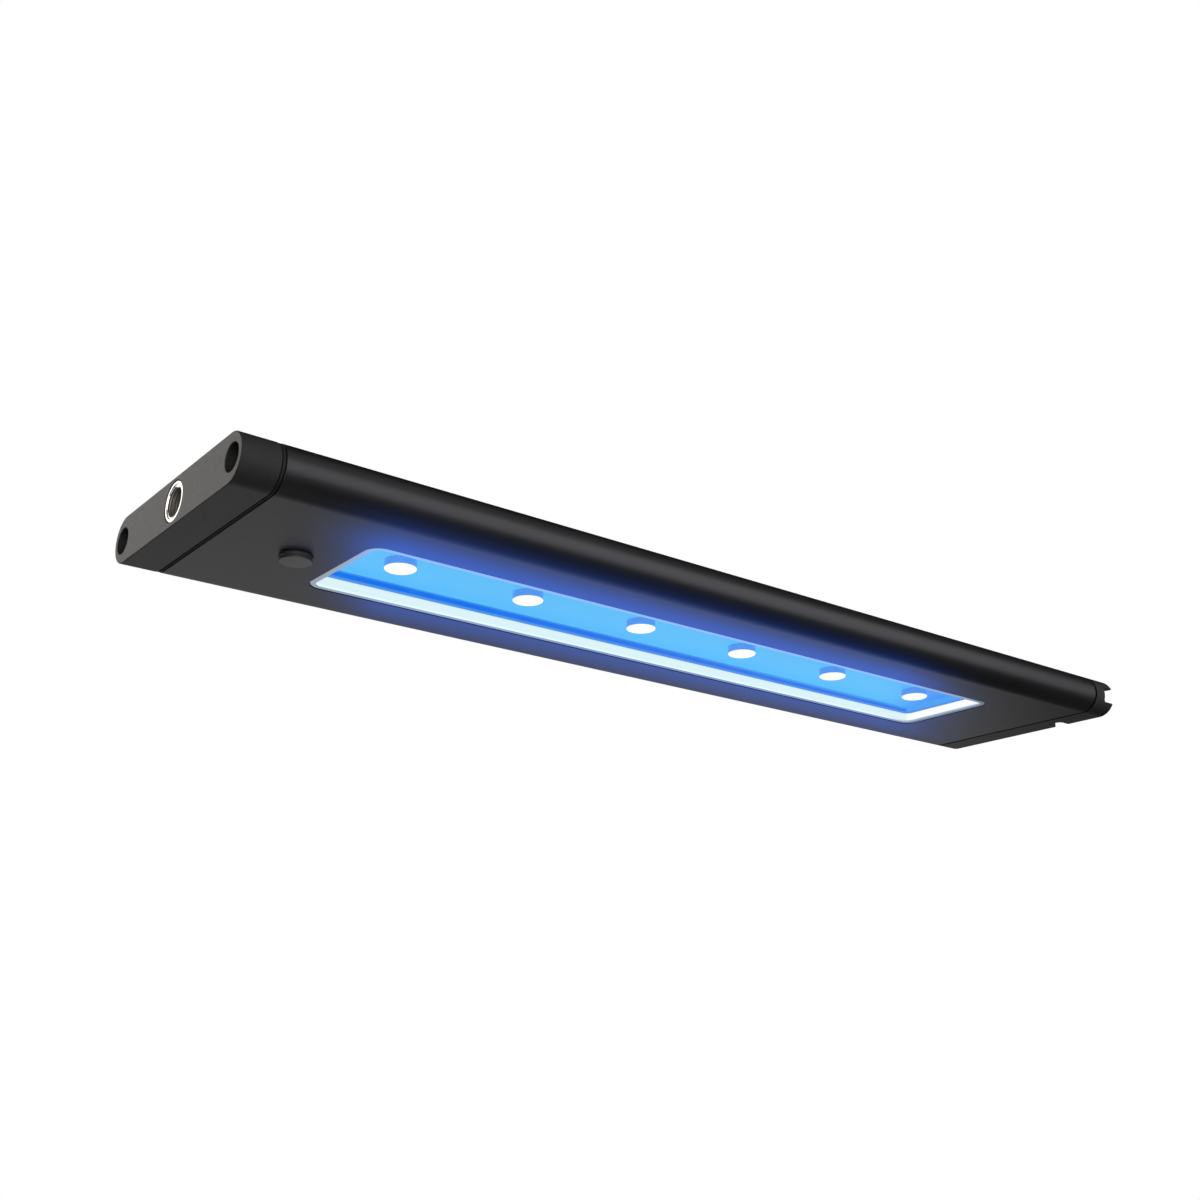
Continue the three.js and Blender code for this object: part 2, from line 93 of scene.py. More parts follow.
WINDOW_CORNER = 3.8 * MM
LEAST_CORNER = 0.6 * MM  # of the window's inner outlines
WINDOW_GAP = 0.2 * MM
WINDOW_FLARE = 0.15 * MM
BEZEL_WIDTH = 1.45 * MM
BEZEL_EDGE = 0.12 * MM
PANE_EDGE = 0.1 * MM
WELL_MARGIN = 0.05 * MM
WELL_STEP_Z = -2.75 * MM
WELL_STEP = 0.4 * MM
WELL_FLANGE = {"above_rim": 1.5 * MM, "thickness": 0.75 * MM}

LENS_EDGE = 0.5 * MM
LENS_POCKET = {"radius": 2.7 * MM, "depth": 1.0 * MM}

BUTTON_RADIUS = 3.85 * MM
BUTTON_EDGE = 0.26 * MM
BUTTON_HOLE_RADIUS = 4.15 * MM
BUTTON_LIP = {"radius": 4.0 * MM, "ease": 0.04 * MM, "depth": 0.3 * MM}
BUTTON_FLANGE = {"radius": 5.2 * MM, "height": 0.6 * MM, "gap": 0.15 * MM}
BUTTON_STEM_RADIUS = 1.5 * MM
SEAL_GROOVE = {"depth": 0.55 * MM, "play": 0.05 * MM}
GRIP_GROOVE = {"low": -6.55 * MM, "high": -6.25 * MM, "depth": 0.2 * MM}

INLET_RADIUS = 4.8 * MM
INLET_BARREL_RADIUS = 4.0 * MM
INLET_BORE = 3.3 * MM
INLET_FLANGE = 1.0 * MM
INLET_SEAT_GAP = 0.1 * MM
INLET_SEAT_FLARE = 0.12 * MM
INLET_BARREL_GAP = 0.2 * MM
INLET_GROOVE = {"edge": 4.1 * MM, "outer": 4.0 * MM, "inner": 3.8 * MM, "depth": 0.3 * MM}
INLET_RIDGE = {"radius": 3.75 * MM, "depth": 0.14 * MM}  # between the groove and the bore
INLET_BORE_START = 0.45 * MM
INLET_RIBS = {"count": 5, "pitch": 0.75 * MM, "depth": 0.22 * MM}
INLET_VALLEY = (0.2 * MM, 0.35 * MM, 0.5 * MM)  # its start, its end and the next crest
PIN_RADIUS = 0.5 * MM
PIN_EDGE = 0.28 * MM
PIN_GAP = 0.1 * MM

# Radius of the flat disc that closes a turned piece at its axis.
HUB = 0.2 * MM
SCREW_HUB = 0.15 * MM
INLET_HUB = 0.1 * MM

ROUND_STEPS = 40  # along half a circle of a big round edge
CIRCLE_STEPS = 64
CORNER_STEPS = 10
EASE_STEPS = 3  # along a small convex edge
CREASE_ANGLE = 32  # degrees, above which an edge shades sharp

# ---- outlines and solids ----


def arc(u, v, radius, start, end, steps):
    """Points on an arc, angles in degrees."""
    turn = [math.radians(start + (end - start) * i / steps) for i in range(steps + 1)]
    return [(u + radius * math.cos(a), v + radius * math.sin(a)) for a in turn]


def circle(u, v, radius, steps=CIRCLE_STEPS):
    return arc(u, v, radius, 0, 360, steps)[:-1]


def stadium(low, high, inset=0.0):
    """The bar's section in (y, z), with full-round ends, between two corners of a box."""
    radius = (high.z - low.z) / 2
    middle = (high.z + low.z) / 2
    side = high.y - radius
    right = arc(side, middle, radius - inset, -90, 90, ROUND_STEPS)
    return right + arc(-side, middle, radius - inset, 90, 270, ROUND_STEPS)


def rounded(u0, u1, v0, v1, corner, steps=CORNER_STEPS):
    """A rectangle with round corners."""
    points = []
    for u, v, start in (
        (u1 - corner, v0 + corner, -90),
        (u1 - corner, v1 - corner, 0),
        (u0 + corner, v1 - corner, 90),
        (u0 + corner, v0 + corner, 180),
    ):
        points += arc(u, v, corner, start, start + 90, steps)
    return points


def along_x(outline, x):
    return [Vector((x, u, v)) for u, v in outline]


def along_y(outline, y):
    return [Vector((v, y, u)) for u, v in outline]


def along_z(outline, z):
    return [Vector((u, v, z)) for u, v in outline]


def piece(name, rings, looped=False):
    """A closed mesh over rings of points, each ring joined to the next. The ends are capped."""
    count = len(rings[0])
    mesh = bmesh.new()
    rows = [[mesh.verts.new(p) for p in ring] for ring in rings]
    pairs = list(zip(rows, rows[1:]))
    if looped:
        pairs.append((rows[-1], rows[0]))
    else:
        mesh.faces.new(rows[0])
        mesh.faces.new(rows[-1])
    for a, b in pairs:
        for i in range(count):
            j = (i + 1) % count
            mesh.faces.new((a[i], a[j], b[j], b[i]))
    bmesh.ops.recalc_face_normals(mesh, faces=mesh.faces)
    data = bpy.data.meshes.new(name)
    mesh.to_mesh(data)
    mesh.free()
    made = bpy.data.objects.new(name, data)
    bpy.context.scene.collection.objects.link(made)
    return made


def eased(edge):
    """Pairs of (inset, distance from the face) round a small convex edge, from the face inwards."""
    angles = [math.pi / 2 * i / EASE_STEPS for i in range(EASE_STEPS + 1)]
    return [(edge * (1 - math.sin(a)), edge * (1 - math.cos(a))) for a in angles]


def bar(name, section, x0, x1, edge):
    """A solid bar along X whose section(inset) shrinks round both ends."""
    start = [along_x(section(inset), x0 + depth) for inset, depth in eased(edge)]
    end = [along_x(section(inset), x1 - depth) for inset, depth in reversed(eased(edge))]
    return piece(name, start + end)


def fillet(profile, steps=4):
    """Rounds each corner of a (radius, height, rounding) profile with a short curve."""
    points = []
    count = len(profile)
    for i, (radius, height, rounding) in enumerate(profile):
        corner = Vector((radius, height))
        if not rounding:
            points.append(corner)
            continue
        before = Vector(profile[i - 1][:2])
        after = Vector(profile[(i + 1) % count][:2])
        enter = corner + (before - corner).normalized() * rounding
        leave = corner + (after - corner).normalized() * rounding
        for k in range(steps + 1):
            t = k / steps
            points.append(enter * (1 - t) ** 2 + corner * 2 * t * (1 - t) + leave * t**2)
    return points


def turned_z(name, profile, x, y):
    """A round piece about a vertical axis, from (radius, z, rounding) points."""
    return piece(name, [along_z(circle(x, y, p.x), p.y) for p in fillet(profile)])


def turned_x(name, profile, y, z, looped=False, steps=CIRCLE_STEPS):
    """A round piece about an axis along X, from (radius, x, rounding) points."""
    rings = [along_x(circle(y, z, p.x, steps), p.y) for p in fillet(profile)]
    return piece(name, rings, looped)


def cut(made, *tools):
    """Takes the tools away from a piece, and deletes them."""
    for tool in tools:
        modifier = made.modifiers.new("cut", "BOOLEAN")
        modifier.object = tool
        modifier.operation = "DIFFERENCE"
        modifier.solver = "EXACT"
    bpy.context.view_layer.update()
    shape = made.evaluated_get(bpy.context.evaluated_depsgraph_get())
    data = bpy.data.meshes.new_from_object(shape)
    made.modifiers.clear()
    made.data = data
    for tool in tools:
        bpy.data.objects.remove(tool)
    return made


def shade(made):
    """Smooth shading that keeps flat faces flat and sharp edges crisp."""
    made.data.shade_smooth()
    made.data.set_sharp_from_angle(angle=math.radians(CREASE_ANGLE))
    weighted = made.modifiers.new("normals", "WEIGHTED_NORMAL")
    weighted.keep_sharp = True
    weighted.weight = 80


def finished(made, look, stands_for, body="light"):
    """Gives a piece its shading, material and body, and hides the CAD nodes that it stands for."""
    shade(made)
    made.data.materials.clear()
    made.data.materials.append(look)
    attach(made, body)
    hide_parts(*stands_for)


def middle(node):
    """The centre of a CAD node's box."""
    low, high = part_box(node)
    return (low + high) / 2


# ---- material nodes ----


def put(tree, kind, inputs, **settings):
    """Adds a shader node. An input is a number, a colour or another node's output."""
    node = tree.nodes.new("ShaderNode" + kind)
    for key, value in settings.items():
        setattr(node, key, value)
    for key, value in inputs.items():
        if isinstance(value, bpy.types.NodeSocket):
            tree.links.new(value, node.inputs[key])
        else:
            node.inputs[key].default_value = value
    return node


def math_node(tree, operation, *values):
    return put(tree, "Math", dict(enumerate(values)), operation=operation).outputs[0]


def noise(tree, vector, scale, detail=3.0):
    made = put(tree, "TexNoise", {"Vector": vector, "Scale": scale, "Detail": detail})
    return made.outputs["Fac"]


def between(tree, value, low, high, out_low=0.0, out_high=1.0, smooth=True):
    """Runs from out_low to out_high as the value goes from low to high, and stays there."""
    kind = "SMOOTHSTEP" if smooth else "LINEAR"
    inputs = {"Value": value, "From Min": low, "From Max": high}
    inputs.update({"To Min": out_low, "To Max": out_high})
    return put(tree, "MapRange", inputs, interpolation_type=kind).outputs[0]


def blend(tree, share, first, second):
    """A colour between two others: share is how much of the second."""
    inputs = {"Factor": share, 6: first, 7: second}
    return put(tree, "Mix", inputs, data_type="RGBA").outputs[2]


def colour(red, green, blue):
    """A screen colour, 0 to 255, as a linear one."""
    parts = [c / 255 for c in (red, green, blue)]
    return (*[c / 12.92 if c <= 0.04045 else ((c + 0.055) / 1.055) ** 2.4 for c in parts], 1.0)


def new_look(name):
    """A material with an empty tree. Returns the material, its tree and its object coordinates."""
    look = bpy.data.materials.new(name)
    look.use_nodes = True
    tree = look.node_tree
    tree.nodes.clear()
    return look, tree, put(tree, "TexCoord", {}).outputs["Object"]


def axes(tree, vector):
    """A vector's x, y and z."""
    return put(tree, "SeparateXYZ", {0: vector}).outputs


def facing(tree):
    """The surface's own x, y and z direction, on the object's axes."""
    return axes(tree, put(tree, "TexCoord", {}).outputs["Normal"])


def close(tree, shader):
    """Ends a material with its shader."""
    put(tree, "OutputMaterial", {"Surface": shader})


def grain_normal(tree, height, strength, depth):
    """A normal bumped by a height pattern."""
    inputs = {"Height": height, "Strength": strength, "Distance": depth}
    return put(tree, "Bump", inputs).outputs[0]


def surface(name, dark, light, roughness, metallic=0.0, grain=0.3 * MM, patch=18 * MM):
    """A finish with cloudy colour, and fine grain in its roughness and height."""
    look, tree, place = new_look(name)
    cloud = between(tree, noise(tree, place, 1 / patch), 0.3, 0.7)
    fine = noise(tree, place, 1 / grain, 2.0)
    inputs = {
        "Base Color": blend(tree, cloud, dark, light),
        "Roughness": between(tree, fine, 0.3, 0.7, roughness * 0.88, roughness * 1.12),
        "Metallic": metallic,
        "Normal": grain_normal(tree, fine, 0.1, grain / 2),
    }
    close(tree, put(tree, "BsdfPrincipled", inputs).outputs[0])
    return look


# ---- the painted glow round the window ----

WINDOW_LOW, WINDOW_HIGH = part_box("window_bezel")
# Colours of the rim's painted light, all emitted: its own painted glow, bluer on the far side,
# painted shade towards the far end, and the window's painted glow.
BEZEL_PAINTED_GLOW = (0.25, 0.29, 0.37, 1.0)
BEZEL_FAR_PAINTED_GLOW = (0.14, 0.18, 0.36, 1.0)
BEZEL_END_PAINTED_SHADE = (0.10, 0.11, 0.15, 1.0)
BEZEL_PAINTED_WINDOW_GLOW = (0.20, 0.44, 0.98, 1.0)
BEZEL_END_X = 98 * MM  # where the rim's painted shade starts, darkening it towards its far end
BEZEL_FAR_X = -100 * MM  # where the painted glow on its far side starts to turn bluer
BEZEL_LIT_EDGE = 0.3 * MM
# reaches of the painted glow past the window's sides and ends
SPILL_SIDE_REACH = 11.3 * MM
SPILL_LEFT = {"x": -96.5 * MM, "lean": 0.48, "reach": 12.5 * MM}
SPILL_RIGHT = {"x": 80 * MM, "lean": 1.0, "reach": 24 * MM}


def beyond(tree, distance, reach):
    """Minus the square of how far past a line a point is, in reaches. Zero on its near side."""
    past = math_node(tree, "MAXIMUM", math_node(tree, "DIVIDE", distance, -reach), 0.0)
    return math_node(tree, "MULTIPLY", math_node(tree, "MULTIPLY", past, past), -1.0)


def painted_window_glow(tree, place):
    """How strongly the window's painted glow spills on to the black round it, from 0 to 1."""
    x, y, _ = axes(tree, place)
    left = math_node(tree, "MULTIPLY_ADD", y, -SPILL_LEFT["lean"], -SPILL_LEFT["x"])
    inside_left = math_node(tree, "ADD", x, left)
    right = math_node(tree, "MULTIPLY_ADD", y, SPILL_RIGHT["lean"], SPILL_RIGHT["x"])
    inside_right = math_node(tree, "SUBTRACT", right, x)
    inside_side = math_node(tree, "SUBTRACT", WINDOW_HIGH.y, math_node(tree, "ABSOLUTE", y))
    ends = math_node(tree, "ADD", beyond(tree, inside_left, SPILL_LEFT["reach"]),
                     beyond(tree, inside_right, SPILL_RIGHT["reach"]))
    all_round = math_node(tree, "ADD", ends, beyond(tree, inside_side, SPILL_SIDE_REACH))
    fall = math_node(tree, "EXPONENT", all_round)
    down = math_node(tree, "MAXIMUM", math_node(tree, "MULTIPLY", facing(tree)[2], -1.0), 0.0)
    turned = math_node(tree, "MULTIPLY", math_node(tree, "POWER", down, 3.0), fall)
    side = between(tree, y, -WINDOW_HIGH.y, WINDOW_HIGH.y, 1.0, 0.59)
    return math_node(tree, "MULTIPLY", turned, side)


# ---- finishes of the outside ----


def anodised_look():
    """Black anodised aluminium: bead-blasted grain, faint draw lines, and a painted blue glow where
    the window's light spills on to it.
    """
    look, tree, place = new_look("anodised_black")
    drawn = put(tree, "Mapping", {"Vector": place, "Scale": (0.01, 1.0, 1.0)}).outputs[0]
    lines = noise(tree, drawn, 1 / (0.5 * MM), 2.0)
    cloud = between(tree, noise(tree, place, 1 / (30 * MM)), 0.3, 0.7)
    blast = noise(tree, place, 1 / (0.16 * MM), 2.0)
    height = math_node(tree, "MULTIPLY_ADD", lines, 0.25, blast)
    inputs = {
        "Base Color": blend(tree, cloud, (0.0072, 0.0070, 0.0074, 1), (0.0098, 0.0094, 0.0096, 1)),
        "Roughness": between(tree, height, 0.35, 0.9, 0.37, 0.44),
        "Normal": grain_normal(tree, height, 0.10, 0.03 * MM),
        # painted glow: the window's blue light, painted on as emission
        "Emission Color": (0.004, 0.155, 1.0, 1.0),
        "Emission Strength": math_node(tree, "MULTIPLY", painted_window_glow(tree, place), 0.46),
    }
    close(tree, put(tree, "BsdfPrincipled", inputs).outputs[0])
    return look


def cap_look():
    """The end caps' moulded black: rougher on the round edges than on the flat faces."""
    look, tree, place = new_look("cap_black")
    bend = between(tree, math_node(tree, "ABSOLUTE", facing(tree)[1]), 0.3, 0.9)
    cloud = between(tree, noise(tree, place, 1 / (18 * MM)), 0.3, 0.7)
    fine = noise(tree, place, 1 / (0.22 * MM), 2.0)
    rough = between(tree, fine, 0.3, 0.7, 0.45, 0.57)
    inputs = {
        "Base Color": blend(tree, cloud, (0.0125, 0.0120, 0.0115, 1), (0.0155, 0.0148, 0.0142, 1)),
        "Roughness": math_node(tree, "MULTIPLY_ADD", bend, 0.22, rough),
        "Specular IOR Level": 0.52,
        "Normal": grain_normal(tree, fine, 0.12, 0.11 * MM),
    }
    close(tree, put(tree, "BsdfPrincipled", inputs).outputs[0])
    return look


def gasket_look(name, gloss):
    """Black rubber. The far end's seal is a copy with almost no gloss, painted shade that makes its
    joint read as one black line.
    """
    look, tree, place = new_look(name)
    cloud = between(tree, noise(tree, place, 1 / (18 * MM)), 0.3, 0.7)
    inputs = {
        "Base Color": blend(tree, cloud, (0.002, 0.002, 0.002, 1), (0.004, 0.004, 0.004, 1)),
        "Roughness": between(tree, cloud, 0.0, 1.0, 0.72, 0.78),
        "Specular IOR Level": gloss,
    }
    close(tree, put(tree, "BsdfPrincipled", inputs).outputs[0])
    return look


def button_look():
    """A moulded button with painted light: its face, turned down, is painted paler than its side.
    """
    look, tree, place = new_look("button_black")
    face = between(tree, facing(tree)[2], -0.6, -0.95)
    cloud = between(tree, noise(tree, place, 1 / (4 * MM)), 0.3, 0.7)
    fine = noise(tree, place, 1 / (0.18 * MM), 2.0)
    side_tone = blend(tree, cloud, (0.046, 0.044, 0.046, 1), (0.054, 0.052, 0.054, 1))
    # painted light: the face turned down is painted paler than the side
    face_painted_light_tone = blend(tree, cloud, (0.195, 0.192, 0.200, 1), (0.215, 0.212, 0.220, 1))
    inputs = {
        "Base Color": blend(tree, face, side_tone, face_painted_light_tone),
        "Roughness": between(tree, fine, 0.3, 0.7, 0.45, 0.56),
        "Normal": grain_normal(tree, fine, 0.1, 0.09 * MM),
    }
    close(tree, put(tree, "BsdfPrincipled", inputs).outputs[0])
    return look


# ---- finishes behind the window, all painted light: painted glow, and painted shade in the deep blues ----

# Painted light, all emitted: the well, the board and the lens caps glow, though they are no lamps.
# The deep blues and the board's darker far-end blue are painted shade; the ledge blue is painted
# light.
WELL_PAINTED_WHITE = colour(227, 250, 255)
WELL_END_PAINTED_WHITE = (1.05, 1.05, 1.05, 1.0)
DEEP_PAINTED_SHADE_BLUE = colour(0, 112, 240)
DEEP_END_PAINTED_SHADE_BLUE = colour(50, 116, 240)
LEDGE_PAINTED_LIGHT_BLUE = colour(78, 148, 238)
BOARD_PAINTED_GLOW_BLUE = colour(93, 195, 255)
BOARD_END_PAINTED_SHADE_BLUE = colour(74, 151, 250)
END_WALL_PAINTED_BLUE = colour(82, 166, 250)
LENS_SIDE_PAINTED_BLUE = colour(85, 151, 244)
WELL_FADE_X = (-80 * MM, 20 * MM)  # the far side's painted deep-blue shade pales between these
WELL_RISE_X = (-20 * MM, 80 * MM)  # and starts to pale lower down between these
WELL_RISE = 0.5 * MM
WELL_CLIMB_Z = (-1.15 * MM, 0.4 * MM)
WELL_FOOT_Z = (-1.95 * MM, -2.4 * MM)
# the board's painted shade deepens between these, along a leaning line
BOARD_FADE_X = (83 * MM, 108 * MM)
BOARD_FADE_LEAN = -0.8


def painted_glow_shader(tree, shown, roughness, normal=None):
    """A surface whose colour shows as painted light, its own glow, with little gloss."""
    inputs = {
        "Base Color": (0.004, 0.006, 0.010, 1.0),
        "Roughness": roughness,
        "Specular IOR Level": 0.12,
        "Emission Color": shown,
        "Emission Strength": 1.0,
    }
    if normal is not None:
        inputs["Normal"] = normal
    return put(tree, "BsdfPrincipled", inputs).outputs[0]


def bezel_look():
    """The rim's pale grey lacquer under painted light: a painted glow all over, bluer on its far
    side, dimmed by painted shade towards its far end and brightened by the window's painted glow,
    and most of all painted white light on its inner edge.
    """
    look, tree, place = new_look("bezel_lacquer_painted_glow")
    x, y, _ = axes(tree, place)
    from_left = math_node(tree, "SUBTRACT", x, WINDOW_LOW.x)
    from_right = math_node(tree, "SUBTRACT", WINDOW_HIGH.x, x)
    from_side = math_node(tree, "SUBTRACT", WINDOW_HIGH.y, math_node(tree, "ABSOLUTE", y))
    inset = math_node(tree, "MINIMUM", from_side, math_node(tree, "MINIMUM", from_left, from_right))
    upright = between(tree, math_node(tree, "ABSOLUTE", facing(tree)[2]), 0.75, 0.35)
    # the inner edge's painted white light, fading towards the far end
    inside = math_node(tree, "GREATER_THAN", inset, BEZEL_WIDTH - BEZEL_LIT_EDGE)
    end = between(tree, x, BEZEL_END_X, WINDOW_HIGH.x)
    painted_edge_light_fade = between(tree, end, 0.0, 1.0, 1.0, 0.3, smooth=False)
    painted_inner_edge_light = math_node(tree, "MULTIPLY", upright, inside)
    painted_inner_edge_light = math_node(tree, "MULTIPLY", painted_inner_edge_light, painted_edge_light_fade)
    far = between(tree, y, -0.3 * WINDOW_HIGH.y, WINDOW_HIGH.y)
    dimmed = between(tree, far, 0.0, 1.0, 1.0, 0.4, smooth=False)
    glow = math_node(tree, "MULTIPLY", painted_window_glow(tree, place), dimmed)
    far_right = math_node(tree, "MULTIPLY", far, between(tree, x, BEZEL_FAR_X, 0.0))
    own = blend(tree, far_right, BEZEL_PAINTED_GLOW, BEZEL_FAR_PAINTED_GLOW)
    own = blend(tree, end, own, BEZEL_END_PAINTED_SHADE)
    face = blend(tree, glow, own, BEZEL_PAINTED_WINDOW_GLOW)
    cloud = between(tree, noise(tree, place, 1 / (9 * MM)), 0.3, 0.7)
    fine = noise(tree, place, 1 / (0.2 * MM), 2.0)
    inputs = {
        "Base Color": blend(tree, cloud, (0.15, 0.15, 0.17, 1), (0.19, 0.19, 0.21, 1)),
        "Roughness": between(tree, fine, 0.3, 0.7, 0.38, 0.46),
        "Normal": grain_normal(tree, fine, 0.08, 0.05 * MM),
        "Emission Color": blend(tree, painted_inner_edge_light, face, WELL_PAINTED_WHITE),
        "Emission Strength": 1.0,
    }
    close(tree, put(tree, "BsdfPrincipled", inputs).outputs[0])
    return look


def well_look():
    """The wall, all painted light: a painted white glow below its step, and above it painted
    deep-blue shade that pales towards the board's painted glow.
    """
    look, tree, place = new_look("lit_well")
    normal = facing(tree)
    # painted light throughout: white glow below the step, painted deep-blue shade above it, painted
    # light on the ledges
    end = between(tree, math_node(tree, "ABSOLUTE", normal[0]), 0.3, 0.9)
    lower = blend(tree, end, WELL_PAINTED_WHITE, WELL_END_PAINTED_WHITE)
    x, _, z = axes(tree, place)
    deep = blend(tree, between(tree, x, *WELL_FADE_X), DEEP_PAINTED_SHADE_BLUE, DEEP_END_PAINTED_SHADE_BLUE)
    sooner = between(tree, x, *WELL_RISE_X, 0.0, WELL_RISE)
    climb = between(tree, math_node(tree, "ADD", z, sooner), *WELL_CLIMB_Z, smooth=False)
    upper = blend(tree, climb, deep, BOARD_PAINTED_GLOW_BLUE)
    upper = blend(tree, end, upper, END_WALL_PAINTED_BLUE)
    upper = blend(tree, between(tree, z, *WELL_FOOT_Z), upper, LEDGE_PAINTED_LIGHT_BLUE)
    faint = between(tree, noise(tree, place, 1 / (6 * MM)), 0.3, 0.7, 0.0, 0.06)
    upper = blend(tree, faint, upper, BOARD_PAINTED_GLOW_BLUE)
    ledge = between(tree, math_node(tree, "ABSOLUTE", normal[2]), 0.6, 0.9)
    upper = blend(tree, ledge, upper, LEDGE_PAINTED_LIGHT_BLUE)
    above = math_node(tree, "GREATER_THAN", z, WELL_STEP_Z - 2 * SKIN)
    close(tree, painted_glow_shader(tree, blend(tree, above, lower, upper), 0.5))
    return look


def board_look():
    """The LED board's face as painted glow, with painted shade that makes it deeper blue towards
    its far end.
    """
    look, tree, place = new_look("lit_board")
    x, y, _ = axes(tree, place)
    leaning = math_node(tree, "MULTIPLY_ADD", y, BOARD_FADE_LEAN, x)
    deep = between(tree, leaning, *BOARD_FADE_X)
    cloud = between(tree, noise(tree, place, 1 / (25 * MM)), 0.3, 0.7, 0.0, 0.08)
    shown = blend(tree, deep, BOARD_PAINTED_GLOW_BLUE, BOARD_END_PAINTED_SHADE_BLUE)
    shown = blend(tree, cloud, shown, LENS_SIDE_PAINTED_BLUE)
    weave = noise(tree, place, 1 / (0.5 * MM), 2.0)
    close(tree, painted_glow_shader(tree, shown, 0.45, grain_normal(tree, weave, 0.05, 0.05 * MM)))
    return look


def lens_look():
    """A lens cap in painted light: its face has a painted white glow, and its side a painted blue
    glow taken from the board's blue.
    """
    look, tree, place = new_look("lit_lens")
    face = between(tree, facing(tree)[2], -0.10, -0.40)
    faint = between(tree, noise(tree, place, 1 / (2 * MM)), 0.3, 0.7, 0.0, 0.12)
    side = blend(tree, faint, LENS_SIDE_PAINTED_BLUE, BOARD_PAINTED_GLOW_BLUE)
    # the lens face's painted white glow
    shown = blend(tree, face, side, (1.15, 1.15, 1.15, 1.0))
    close(tree, painted_glow_shader(tree, shown, 0.3))
    return look


def pane_look():
    """The clear cover: almost nothing but a weak gloss."""
    look, tree, place = new_look("clear_cover")
    smear = between(tree, noise(tree, place, 1 / (12 * MM)), 0.3, 0.7, 0.03, 0.07)
    tint = between(tree, noise(tree, place, 1 / (20 * MM)), 0.3, 0.7)
    inputs = {
        "Base Color": blend(tree, tint, (0.05, 0.10, 0.20, 1.0), (0.07, 0.13, 0.24, 1.0)),
        "Roughness": smear,
        "Alpha": 0.04,
    }
    close(tree, put(tree, "BsdfPrincipled", inputs).outputs[0])
    return look


# ---- finishes inside ----


def control_board_look():
    """Green solder mask with raised tracks."""
    look, tree, place = new_look("control_mask")
    cells = put(tree, "TexBrick", {"Vector": place, "Scale": 1 / (9 * MM), "Mortar Size": 0.06})
    track = cells.outputs["Fac"]
    fine = noise(tree, place, 1 / (0.4 * MM))
    inputs = {
        "Base Color": blend(tree, track, (0.010, 0.090, 0.035, 1), (0.020, 0.160, 0.060, 1)),
        "Roughness": between(tree, fine, 0.3, 0.7, 0.32, 0.42),
        "Normal": grain_normal(tree, track, 0.3, 0.05 * MM),
    }
    close(tree, put(tree, "BsdfPrincipled", inputs).outputs[0])
    return look


INLET_PAINTED_SHADE_DEPTHS = (0.38 * MM, 0.55 * MM)  # painted shade darkens the bore between these depths


def chrome_look():
    """Bright plating on the flange; down the bore, painted shade makes it darker, brownish, rougher
    and less metallic.
    """
    look, tree, place = new_look("inlet_chrome")
    low, high = (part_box("inlet_shell")[0].x + depth for depth in INLET_PAINTED_SHADE_DEPTHS)
    # painted shade down the bore
    down = between(tree, axes(tree, place)[0], low, high)
    cloud = between(tree, noise(tree, place, 1 / (3 * MM)), 0.3, 0.7)
    fine = noise(tree, place, 1 / (0.12 * MM), 2.0)
    bright = blend(tree, cloud, (0.90, 0.88, 0.86, 1), (0.97, 0.95, 0.93, 1))
    painted_bore_shade = blend(tree, cloud, (0.16, 0.145, 0.12, 1), (0.24, 0.22, 0.19, 1))
    inputs = {
        "Base Color": blend(tree, down, bright, painted_bore_shade),
        "Roughness": between(tree, down, 0.0, 1.0, 0.2, 0.55),
        "Metallic": between(tree, down, 0.0, 1.0, 1.0, 0.2),
        "Normal": grain_normal(tree, fine, 0.04, 0.05 * MM),
    }
    close(tree, put(tree, "BsdfPrincipled", inputs).outputs[0])
    return look


LOOKS = {
    "black_anodised": anodised_look(),
    "cap_black": cap_look(),
    "gasket_rubber": gasket_look("gasket_rubber", 0.5),
    "rubber_painted_shade": gasket_look("rubber_painted_shade", 0.03),
    "screw_steel": surface("screw_steel", (0.42, 0.42, 0.43, 1), (0.55, 0.55, 0.57, 1),
                           0.3, metallic=1.0, grain=0.1 * MM),
    "inlet_chrome": chrome_look(),
    "inlet_plastic": surface("inlet_plastic", (0.020, 0.017, 0.014, 1), (0.036, 0.031, 0.026, 1),
                             0.5, grain=0.12 * MM, patch=2 * MM),
    "contact_metal": surface("contact_metal", (0.80, 0.56, 0.22, 1), (0.90, 0.66, 0.30, 1),
                             0.25, metallic=1.0, grain=0.08 * MM, patch=1 * MM),
    "bezel_grey": bezel_look(),
    "clear_pane": pane_look(),
    "well_white": well_look(),
    "led_board_mask": board_look(),
    "pad_grey": surface("pad_grey", (0.20, 0.21, 0.23, 1), (0.27, 0.28, 0.30, 1), 0.9),
    "led_phosphor": surface("led_phosphor", (0.10, 0.22, 0.90, 1), (0.16, 0.30, 1.0, 1), 0.4),
    "lens_white": lens_look(),
    "control_board_mask": control_board_look(),
    "ferrite": surface("ferrite", (0.020, 0.020, 0.024, 1), (0.040, 0.040, 0.046, 1), 0.7),
    "capacitor_case": surface("capacitor_case", (0.42, 0.20, 0.02, 1), (0.55, 0.28, 0.04, 1), 0.5),
    "chip_epoxy": surface("chip_epoxy", (0.007, 0.007, 0.008, 1), (0.012, 0.012, 0.013, 1), 0.5),
    "switch_can": surface("switch_can", (0.50, 0.50, 0.52, 1), (0.62, 0.62, 0.64, 1),
                          0.35, metallic=1.0),
    "lead_red": surface("lead_red", (0.36, 0.010, 0.008, 1), (0.48, 0.018, 0.014, 1), 0.55),
    "lead_black": surface("lead_black", (0.006, 0.006, 0.006, 1), (0.010, 0.010, 0.010, 1), 0.55),
    "button_black": button_look(),
}


# ---- housing ----


